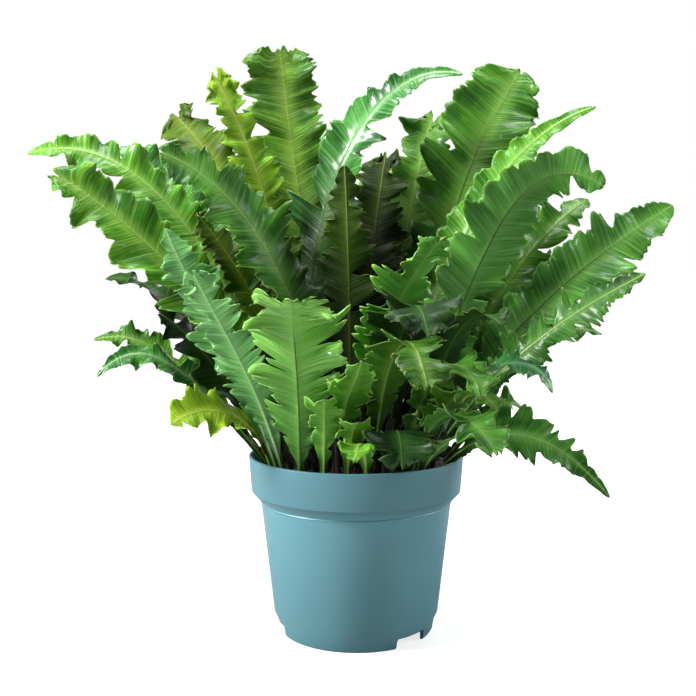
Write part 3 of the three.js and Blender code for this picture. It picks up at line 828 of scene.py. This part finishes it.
def margin_of(u, side, leaf):
    """One margin: how far out its lobes and its teeth reach, and its crimp and ruffle."""
    shift = 0 if side > 0 else 0.5
    cuts = leaf["cuts"]
    station = np.interp(u, cuts, np.arange(len(cuts)))
    lobe = station / 2 + shift
    index = np.floor(lobe)
    seed = leaf["seed"]

    def pick(n, i):
        return draw(seed, DRAWS_PER_LOBE * (i + shift / 2) + n)

    def vary(n, i, spread):
        return spread * (2 * pick(n, i) - 1)

    in_cut = np.cos((lobe - index) * math.pi) ** 2
    on_lobe = 1 - in_cut
    rare = pick(CUT_DRAW, np.floor(lobe + 0.5)) ** MOST_CUT_RARITY
    cut = np.minimum(DEEPEST_CUT, leaf["cut"] * (LEAST_CUT + (MOST_CUT - LEAST_CUT) * rare))
    from_tip = np.clip((u - cuts[-3]) / (1 - cuts[-3]), 0, 1)
    blunt = TIP_WIDTH * leaf["crest"]
    rounding = TIP_ROUNDING + CREST_ROUNDING * leaf["crest"]
    rounded = np.sqrt(np.clip(1 - (1 - blunt**2) * from_tip**rounding, NARROWEST_TIP, 1))
    half = leaf["width"] / 2 * width_share(u, leaf) * rounded
    grown = np.minimum(1, half / (FULL_LOBES_AT * leaf["width"] / 2))
    reach = half * (1 - grown * cut * in_cut**CUT_SHARPNESS)
    reach = reach * (1 + vary(REACH_DRAW, index, LOBE_SPREAD) * on_lobe)
    waved = np.where(index % 2 == 0, -1, 1) * (1 + vary(CRIMP_DRAW, index, CRIMP_SPREAD))
    crimp = half * grown * CRIMP * waved * on_lobe

    distance = u * leaf["length"]
    scallops = arcs(distance, SCALLOP_LENGTH, seed, SCALLOP_DRAW + side)
    scallops = scallops * (SCALLOPS_UNCUT + SCALLOPS_BY_CUT * leaf["cut"])
    teeth = arcs(distance, TOOTH_LENGTH, seed, TOOTH_DRAW + side)
    teeth = teeth * (TEETH_UNCUT + TEETH_BY_CUT * leaf["cut"])
    cut_in = slits(distance, SLIT_LENGTH, SLIT_SHARPNESS, seed, SLIT_DRAW + side)
    fringe = slits(distance, FRINGE_LENGTH, FRINGE_SHARPNESS, seed, FRINGE_DRAW + side)
    fringe = leaf["fringe"] * fringe**FRINGE_FULLNESS
    wide = np.minimum(1, half / FINE_FROM_HALF_WIDTH)
    teeth = SCALLOP_DEPTH * scallops + TOOTH_DEPTH * teeth - SLIT_DEPTH * leaf["cut"] * cut_in
    teeth = wide * grown * (teeth - reach * fringe)
    teeth = np.maximum(teeth, -DEEPEST_TOOTH * reach)
    ruffle = RUFFLE * grown * waves(distance, RUFFLE_LENGTH, seed, RUFFLE_DRAW + side)
    curl = FRINGE_CURL * leaf["fringe"] * waves(distance, FRINGE_CURL_LENGTH, seed, CURL_DRAW + side)
    return np.maximum(reach, STALK_HALF_WIDTH * rounded), crimp, teeth, wide * (ruffle + curl)


def off_rib(share, tooth):
    """Where a point of a blade's row lies when its margin moves by a share of the row. A shallow tooth
    moves only the outer points, and a deep slit moves them all, so that they keep their order."""
    inward = np.maximum(-tooth, 0.25)
    return share * (1 + tooth * share ** (1 / inward - 1))


def crested(share, leaf):
    """How far a blunt tip's uneven crest reaches forward at a share of its width."""
    turn = 2 * math.pi * float(draw(leaf["seed"], CREST_DRAW))
    ripple = math.sin(CREST_RIPPLE * share + CREST_RIPPLE_TURN * turn)
    wave = math.sin(CREST_WAVE * share + turn) + CREST_RIPPLE_SHARE * ripple
    notch = CREST_NOTCH * math.exp(-((share / CREST_NOTCH_WIDTH) ** 2))
    return CREST_REACH * leaf["crest"] * (wave - CREST_SINK - notch - CREST_CORNER * share**4)


def frond(name, row, seed, materials):
    """One frond: a stalk that widens into a thin pleated blade with lobed, toothed, crimped margins."""
    rib = Rib(row)
    lobes = max(FEWEST_LOBES, math.floor((1 - BLADE_START) * rib.length / LOBE_LENGTH + 0.5))
    width, widest, end, cut, shade = row[7], *row[10:]
    cuts = cuts_of(seed, lobes)
    leaf = {"seed": seed, "cuts": cuts, "width": width, "length": rib.length}
    leaf.update(widest=widest, end=end, cut=cut, fringe=FRINGES.get(name, USUAL_FRINGE))
    leaf["crest"] = min(1, max(0, (end - CRESTED_FROM_END) / CRESTED_FROM_END))
    blade_rows = round((1 - BLADE_START) * rib.length / ROW_STEP)
    stalk = np.linspace(0, BLADE_START, STALK_ROWS, endpoint=False)
    u = np.concatenate([stalk, np.linspace(BLADE_START, 1, blade_rows + 1)])
    centre, across, out, along = rib.frames(u)
    shares = np.array([-s for s in reversed(COLUMN_SHARES[1:])] + COLUMN_SHARES)
    side_of = np.where(shares < 0, -1, 1)
    sides = {side: margin_of(u, side, leaf) for side in (-1, 1)}
    distance = u * rib.length
    swept = SWEEP * np.minimum(1, (1 - u) / SWEEP_FADES_OVER)
    near_tip = np.clip((u - CREST_STARTS_AT) / (1 - CREST_STARTS_AT), 0, 1) ** 1.5
    pleat = PLEAT * waves(distance, PLEAT_LENGTH, seed, PLEAT_DRAW)
    rib_half = STALK_HALF_THICKNESS + (TIP_RIB_HALF_THICKNESS - STALK_HALF_THICKNESS) * u
    rib_spread = RIB_SPREAD_FOOT + (RIB_SPREAD_TIP - RIB_SPREAD_FOOT) * u

    points, ribs, halves, plan, margins = [], [], [], [], []
    for share, side in zip(shares, side_of):
        reach, crimp, tooth, ruffle = sides[side]
        blade = np.maximum(reach - STALK_HALF_WIDTH, 0)
        off = off_rib(abs(share), tooth / reach)
        sideways = side * off * reach
        forward = swept * blade * off**SWEEP_BOW + near_tip * crested(share, leaf)
        fold = FOLD * blade * off**FOLD_BOW + crimp * off**CRIMP_BOW + ruffle * off**RUFFLE_BOW
        across_blade = np.sin(math.pi * np.minimum(1, off * 1.25))
        pleated = pleat * np.minimum(1, blade / PLEATED_FROM) * across_blade
        point = centre + across * sideways[:, None] + along * forward[:, None]
        points.append(point + out * (fold + pleated)[:, None])
        ridge = np.exp(-((sideways / rib_spread) ** 2))
        ribs.append(np.exp(-((sideways / (PAINTED_RIB * rib_spread)) ** 2)))
        halves.append(BLADE_HALF_THICKNESS + (rib_half - BLADE_HALF_THICKNESS) * ridge)
        plan.append(np.stack([distance / UV_SPAN, sideways / UV_SPAN + seed], axis=1))
        at_end = np.clip(1 - (1 - u) * rib.length / PALE_END, 0, 1)
        margins.append(np.where(u < BLADE_START, 0, np.maximum(abs(share), at_end)))

    columns, rows = len(shares), len(u)

    def order(parts):
        return np.stack(parts, axis=1).reshape(rows * columns, -1)

    piece = grid_piece(columns, rows, order(points))
    mesh = piece.data
    weights = order(halves)[:, 0] / STALK_HALF_THICKNESS
    thick = piece.vertex_groups.new(name="thick")
    for index, weight in enumerate(weights):
        thick.add([index], float(weight), "REPLACE")
    tone_and_painted_light = PAINTED_LIGHT_AND_SHADE.get(name, 0.2 * (draw(seed, TONE_DRAW) - 0.5))
    hue = HUES.get(name, 0.4 * (draw(seed, HUE_DRAW) - 0.5))
    dark = np.interp(u, *DARK_RIB_SHOWS) * (name in DARK_RIBS)
    values = {
        "margin": order(margins)[:, 0],
        "rib": order(ribs)[:, 0],
        "growth": np.repeat(u, columns),
        "tone_and_painted_light": np.repeat(tone_and_painted_light * np.interp(u, *TONE_SHOWS), columns),
        "hue": np.full(rows * columns, hue),
        "dark": np.repeat(dark, columns),
        "under": np.zeros(rows * columns),
    }
    for attribute, numbers in values.items():
        layer = mesh.attributes.new(attribute, "FLOAT", "POINT")
        layer.data.foreach_set("value", numbers.astype(np.float32))
    corners = np.zeros(len(mesh.loops), np.int32)
    mesh.loops.foreach_get("vertex_index", corners)
    mesh.uv_layers[0].name = "UVMap"
    mesh.uv_layers[0].data.foreach_set("uv", order(plan)[corners].astype(np.float32).ravel())
    outward = order([out] * columns)
    apply_modifier(
        piece,
        "SOLIDIFY",
        thickness=2 * STALK_HALF_THICKNESS * MM,
        offset=0.0,
        vertex_group="thick",
        thickness_vertex_group=0.0,
    )
    mark_underside(piece, outward)
    bpy.ops.object.shade_smooth()
    place(piece, name + "_frond", materials[shade], name)


def grid_piece(columns, rows, points):
    """A grid primitive whose points, row by row, are drawn out to the given places."""
    deselect()
    bpy.ops.mesh.primitive_grid_add(x_subdivisions=columns - 1, y_subdivisions=rows - 1, size=1)
    piece = bpy.context.object
    piece.data.vertices.foreach_set("co", (points * MM).astype(np.float32).ravel())
    piece.data.update()
    return piece


def mark_underside(piece, outward):
    """Marks the half of a thickened blade's points that lie on its inner side."""
    mesh = piece.data
    half = len(outward)
    places = np.zeros(len(mesh.vertices) * 3, np.float32)
    mesh.vertices.foreach_get("co", places)
    places = places.reshape(-1, 3)
    gap = ((places[half : 2 * half] - places[:half]) * outward).sum()
    under = np.zeros(len(mesh.vertices), np.float32)
    if gap < 0:
        under[half:] = 1
    else:
        under[:half] = 1
    mesh.attributes["under"].data.foreach_set("value", under)


# Pot
def pot_profile():
    collar = POT_HEIGHT - COLLAR_HEIGHT
    shoulder = collar - SHOULDER_DROP
    floor_top = FLOOR_UNDERSIDE + WALL
    ring = FOOT_RADIUS - FOOT_RING_INSET
    return [
        (CAP_RADIUS, FLOOR_UNDERSIDE),
        (ring - WALL, FLOOR_UNDERSIDE),
        (ring - WALL, 0),
        (ring, 0),
        (FOOT_RADIUS, FOOT_ROUND),
        (FOOT_TOP_RADIUS, FOOT_STEP_HEIGHT),
        (BODY_FOOT_RADIUS, BODY_FOOT_HEIGHT),
        (BODY_TOP_RADIUS, shoulder - BEAD_HEIGHT),
        (BODY_TOP_RADIUS + BEAD, shoulder - BEAD_HEIGHT / 2),
        (BODY_TOP_RADIUS, shoulder),
        (COLLAR_FOOT_RADIUS, collar),
        (RIM_RADIUS, POT_HEIGHT - RIM_ROUND),
        (RIM_RADIUS - RIM_ROUND, POT_HEIGHT),
        (RIM_RADIUS - WALL, POT_HEIGHT),
        (COLLAR_FOOT_RADIUS - WALL, collar),
        (BODY_TOP_RADIUS - WALL, shoulder),
        (BODY_FOOT_RADIUS - WALL, BODY_FOOT_HEIGHT),
        (FOOT_TOP_RADIUS - WALL, floor_top),
        (CAP_RADIUS, floor_top),
    ]


def drain_cutter(angle):
    """A block with rounded upper corners, which cuts one drain notch."""
    deselect()
    bpy.ops.mesh.primitive_cube_add(size=1)
    cutter = bpy.context.object
    edit_all()
    bpy.ops.transform.resize(value=(2 * NOTCH_REACH * MM, NOTCH_WIDTH * MM, 2 * NOTCH_HEIGHT * MM))
    bpy.ops.mesh.select_all(action="DESELECT")
    shape = bmesh.from_edit_mesh(cutter.data)
    for edge in shape.edges:
        start, end = (v.co for v in edge.verts)
        on_top = start.z > 0 and end.z > 0
        runs_inward = start.x * end.x < 0
        edge.select_set(on_top and runs_inward)
    shape.select_flush_mode()
    bmesh.update_edit_mesh(cutter.data)
    bpy.ops.mesh.bevel(offset=NOTCH_CORNER * MM, segments=NOTCH_CORNER_STEPS)
    bpy.ops.mesh.select_all(action="SELECT")
    bpy.ops.transform.translate(value=(FOOT_RADIUS * MM, 0, 0))
    leave_edit()
    cutter.rotation_euler = (0, 0, angle)
    settle(cutter)
    return cutter


def plastic():
    material, nodes, shader, bump = surface("pot_plastic", specular=0.45)
    where = nodes.objects()
    cloud = nodes.noise(where, 14.0, detail=3.0)
    grain = nodes.noise(where, 900.0, detail=2.0)
    scuff = nodes.noise(where, 60.0, detail=5.0, roughness=0.7)
    base = nodes.mix(nodes.ramp(cloud, 0.3, 0.7, 0.0, 0.35), colour(PLASTIC), colour(PLASTIC_PATCH))
    height = nodes.add("SeparateXYZ")
    nodes.link(where, height.inputs[0])
    # Painted shade: the collar is darker, as if shaded by the fronds above it.
    collar = (POT_HEIGHT - COLLAR_HEIGHT) * MM
    collar_shade = nodes.ramp(height.outputs["Z"], collar - SHOULDER_DROP * MM, collar, 0.0, 0.6)
    base = nodes.mix(collar_shade, base, colour(PLASTIC_COLLAR_SHADE))
    scuffed = nodes.mix(nodes.ramp(scuff, 0.62, 0.8, 0.0, 0.12), base, colour(PLASTIC_SCUFF))
    nodes.link(scuffed, shader["Base Color"])
    nodes.link(nodes.ramp(scuff, 0.3, 0.8, 0.36, 0.5), shader["Roughness"])
    nodes.link(nodes.math("ADD", nodes.math("MULTIPLY", grain, 0.3), cloud), bump["Height"])
    bump["Strength"].default_value = 0.12
    bump["Distance"].default_value = 0.3 * MM
    return material


def pot():
    piece = turned(pot_profile(), POT_SEGMENTS)
    for i in range(NOTCH_COUNT):
        cutter = drain_cutter(math.radians(NOTCH_FIRST_DEG + 360 * i / NOTCH_COUNT))
        apply_modifier(piece, "BOOLEAN", operation="DIFFERENCE", object=cutter, solver="EXACT")
        bpy.data.objects.remove(cutter)
    apply_modifier(
        piece,
        "BEVEL",
        width=EDGE_ROUND * MM,
        segments=EDGE_STEPS,
        limit_method="ANGLE",
        angle_limit=math.radians(EDGE_FROM_DEG),
    )
    deselect()
    piece.select_set(True)
    bpy.ops.object.shade_smooth_by_angle(angle=math.radians(30))
    place(piece, "nursery_pot", plastic(), "pot")


# Potting mix and rhizome mat
def lumps(x, y, scale, height):
    """Uneven ground: its height at a place, for lumps of a scale."""
    return height * noise.fractal(Vector((x * scale, y * scale, 0.7)), 0.9, 2.1, 4)


def inner_radius(z):
    """The radius of the collar's inner side at a height."""
    share = (z - (POT_HEIGHT - COLLAR_HEIGHT)) / COLLAR_HEIGHT
    return COLLAR_FOOT_RADIUS + (RIM_RADIUS - COLLAR_FOOT_RADIUS) * share - WALL


def earth():
    material, nodes, shader, bump = surface("potting_mix")
    where = nodes.objects()
    crumbs = nodes.noise(where, 260.0, detail=6.0, roughness=0.7)
    patches = nodes.noise(where, 45.0, detail=3.0)
    base = nodes.mix(nodes.ramp(crumbs, 0.4, 0.72), colour(PEAT), colour(PEAT_CRUMB))
    damp = nodes.mix(nodes.ramp(patches, 0.4, 0.7, 0.0, 0.5), base, colour(PEAT_DAMP))
    nodes.link(damp, shader["Base Color"])
    nodes.link(nodes.ramp(patches, 0.3, 0.7, 0.75, 0.98), shader["Roughness"])
    nodes.link(crumbs, bump["Height"])
    bump["Strength"].default_value = 0.9
    bump["Distance"].default_value = 1.2 * MM
    return material


def potting_mix():
    """The root ball: a body that fills the pot, with an uneven top of crumbs."""
    edge = inner_radius(SOIL_HEIGHT) - FIT_GAP
    bottom = FLOOR_UNDERSIDE + WALL + FIT_GAP
    collar = POT_HEIGHT - COLLAR_HEIGHT
    sides = [
        (CAP_RADIUS, bottom),
        (FOOT_TOP_RADIUS - WALL - FIT_GAP, bottom),
        (BODY_FOOT_RADIUS - WALL - FIT_GAP, BODY_FOOT_HEIGHT),
        (BODY_TOP_RADIUS - WALL - FIT_GAP, collar - SHOULDER_DROP),
        (COLLAR_FOOT_RADIUS - WALL - FIT_GAP, collar),
    ]
    rings = [(edge * share, SOIL_HEIGHT) for share in np.linspace(1, 0.08, SOIL_RINGS)]
    piece = turned(sides + rings, ROUND_SEGMENTS)
    for vertex in piece.data.vertices:
        if vertex.co.z > (SOIL_HEIGHT - 0.5) * MM:
            x, y = vertex.co.x / MM, vertex.co.y / MM
            inward = min(1, max(0, (edge - math.hypot(x, y)) / SOIL_EDGE_BLEND))
            vertex.co.z += inward * (lumps(x, y, 0.09, 1.6) + lumps(x, y, 0.3, 0.7)) * MM
    deselect()
    piece.select_set(True)
    bpy.ops.object.shade_smooth_by_angle(angle=math.radians(50))
    place(piece, "root_ball", earth(), "potting_mix")


def bark():
    material, nodes, shader, bump = surface("rhizome_bark")
    where = nodes.objects()
    fibre = nodes.noise(where, 330.0, detail=5.0, roughness=0.65, distortion=0.6)
    patches = nodes.noise(where, 40.0, detail=3.0)
    base = nodes.mix(nodes.ramp(fibre, 0.35, 0.7), colour(BARK), colour(BARK_FIBRE))
    mottled = nodes.mix(nodes.ramp(patches, 0.42, 0.7, 0.0, 0.6), base, colour(BARK_PATCH))
    nodes.link(mottled, shader["Base Color"])
    nodes.link(nodes.ramp(fibre, 0.3, 0.8, 0.65, 0.95), shader["Roughness"])
    nodes.link(fibre, bump["Height"])
    bump["Strength"].default_value = 0.8
    bump["Distance"].default_value = 0.8 * MM
    return material


def rhizome_mat():
    """The crown: a dome of matted rhizome, with the dry stubs of old stalks."""
    bottom = SOIL_HEIGHT + FIT_GAP
    sides = [
        (CAP_RADIUS, bottom),
        (MAT_RADIUS - 1, bottom),
        (MAT_RADIUS, bottom + 2),
        (MAT_RADIUS, bottom + 0.6 * MAT_EDGE),
    ]
    radii = MAT_RADIUS * np.linspace(0.96, 0.06, MAT_RINGS)
    piece = turned(sides + [(radius, mat_top(radius)) for radius in radii], ROUND_SEGMENTS)
    for vertex in piece.data.vertices:
        x, y, z = (c / MM for c in vertex.co)
        height = min(1, max(0, (z - bottom) / MAT_LUMPS_FROM))
        vertex.co.z += height * (lumps(x, y, 0.07, 2.2) + lumps(x + 40, y, 0.22, 1.3)) * MM
        spread = 1 + MAT_SPREAD * height * noise.noise(Vector((x * 0.12, y * 0.12, 3.1)))
        vertex.co.x *= spread
        vertex.co.y *= spread
    stubs = [stub(i, x, y) for i, (x, y) in enumerate(free_places())]
    deselect()
    for other in [*stubs, piece]:
        other.select_set(True)
    bpy.context.view_layer.objects.active = piece
    bpy.ops.object.join()
    bpy.ops.object.shade_smooth_by_angle(angle=math.radians(60))
    place(piece, "rhizome", bark(), "rhizome_mat")


def free_places():
    """Places on the crown that are clear of the stalks' feet."""
    feet = [row[:2] for row in PLANTING.values()]
    places = []
    for i in range(STUB_TRIES):
        radius = MAT_RADIUS * STUB_FIELD * math.sqrt(draw(PLACE_SEEDS[0], i))
        angle = 2 * math.pi * draw(PLACE_SEEDS[1], i)
        x, y = radius * math.cos(angle), radius * math.sin(angle)
        if min(math.hypot(x - fx, y - fy) for fx, fy in [*feet, *places]) > STUB_CLEARANCE:
            places.append((x, y))
    return places


def stub(i, x, y):
    """The dry broken base of an old stalk, taller towards the middle of the crown."""
    radius = math.hypot(x, y)
    broken = STUB_SHORTEST + (1 - STUB_SHORTEST) * draw(STUB_HEIGHT_SEED, i)
    height = STUB_HEIGHT * broken * (1.25 - 0.8 * radius / MAT_RADIUS)
    bpy.ops.mesh.primitive_cone_add(
        vertices=STUB_SIDES,
        radius1=STUB_FOOT_RADIUS * MM,
        radius2=STUB_TOP_RADIUS * MM,
        depth=height * MM,
    )
    piece = bpy.context.object
    edit_all()
    bpy.ops.mesh.subdivide(number_cuts=3)
    leave_edit()
    lean = math.radians(STUB_LEAST_LEAN_DEG + STUB_LEAN_SPREAD_DEG * draw(STUB_LEAN_SEED, i))
    out = Vector((x, y, 0)).normalized()
    for vertex in piece.data.vertices:
        share = vertex.co.z / (height * MM) + 0.5
        wobble = STUB_WOBBLE * MM * noise.noise(vertex.co * 220 + Vector((i, 0, 0)))
        vertex.co += out * (share**1.5 * math.tan(lean) * height * MM) + Vector((wobble, wobble, 0))
    piece.location = (x * MM, y * MM, (mat_top(radius) + height / 2 - STUB_SUNK) * MM)
    settle(piece)
    return piece


# Stage, lights and camera
def stage():
    deselect()
    bpy.ops.mesh.primitive_plane_add(size=16)
    floor = bpy.context.object
    floor.name = "floor"
    material, nodes, shader, _ = surface("floor_paper", roughness=0.9, specular=0.1)
    shader["Base Color"].default_value = (0.4, 0.4, 0.4, 1)
    shader["Emission Color"].default_value = (1, 1, 1, 1)
    seen = nodes.add("LightPath").outputs["Is Camera Ray"]
    away = nodes.add("VectorMath", operation="LENGTH")
    nodes.link(nodes.objects(), away.inputs[0])
    bright = nodes.ramp(away.outputs["Value"], 0.15, 0.9, 0.76, 1.0)
    nodes.link(nodes.math("MULTIPLY", seen, bright), shader["Emission Strength"])
    floor.data.materials.append(material)

    world = bpy.data.worlds.new("studio")
    world.use_nodes = True
    bpy.context.scene.world = world
    nodes = Nodes(world.node_tree)
    background = world.node_tree.nodes["Background"]
    seen = nodes.add("LightPath").outputs["Is Camera Ray"]
    nodes.link(nodes.mix(seen, (0.94, 0.97, 1.0, 1), (1, 1, 1, 1)), background.inputs["Color"])
    nodes.link(nodes.math("MULTIPLY_ADD", seen, 0.92, 0.08), background.inputs["Strength"])


def lamp(name, kind, where, target, watts):
    deselect()
    bpy.ops.object.light_add(type=kind, location=where)
    light = bpy.context.object
    light.name = name
    light.data.energy = watts
    light.rotation_euler = (Vector(target) - Vector(where)).to_track_quat("-Z", "Y").to_euler()
    return light.data


def lights():
    for name, (where, width, watts, tint) in LAMPS.items():
        light = lamp(name, "AREA", where, LAMP_TARGET, watts)
        light.shape = "DISK"
        light.size = width
        light.color = tint
    beam = lamp("front_left", "SPOT", BEAM_PLACE, BEAM_TARGET, BEAM_WATTS)
    beam.spot_size = math.radians(BEAM_DEG)
    beam.spot_blend = 1.0
    beam.shadow_soft_size = BEAM_WIDTH


def camera():
    data = bpy.data.cameras.new("camera")
    data.lens = CAMERA_FOCAL_PX / PHOTO_SIDE_PX * data.sensor_width
    view = bpy.data.objects.new("camera", data)
    view.location = [c * MM for c in CAMERA_PLACE]
    view.rotation_euler = (math.radians(90 - CAMERA_DIP_DEG), 0, 0)
    bpy.context.scene.collection.objects.link(view)
    bpy.context.scene.camera = view


camera()
stage()
lights()
pot()
potting_mix()
rhizome_mat()
blades = blade_materials()
for seed, (name, row) in enumerate(PLANTING.items(), start=1):
    frond(name, row, seed, blades)

bpy.context.scene.view_settings.view_transform = "Standard"
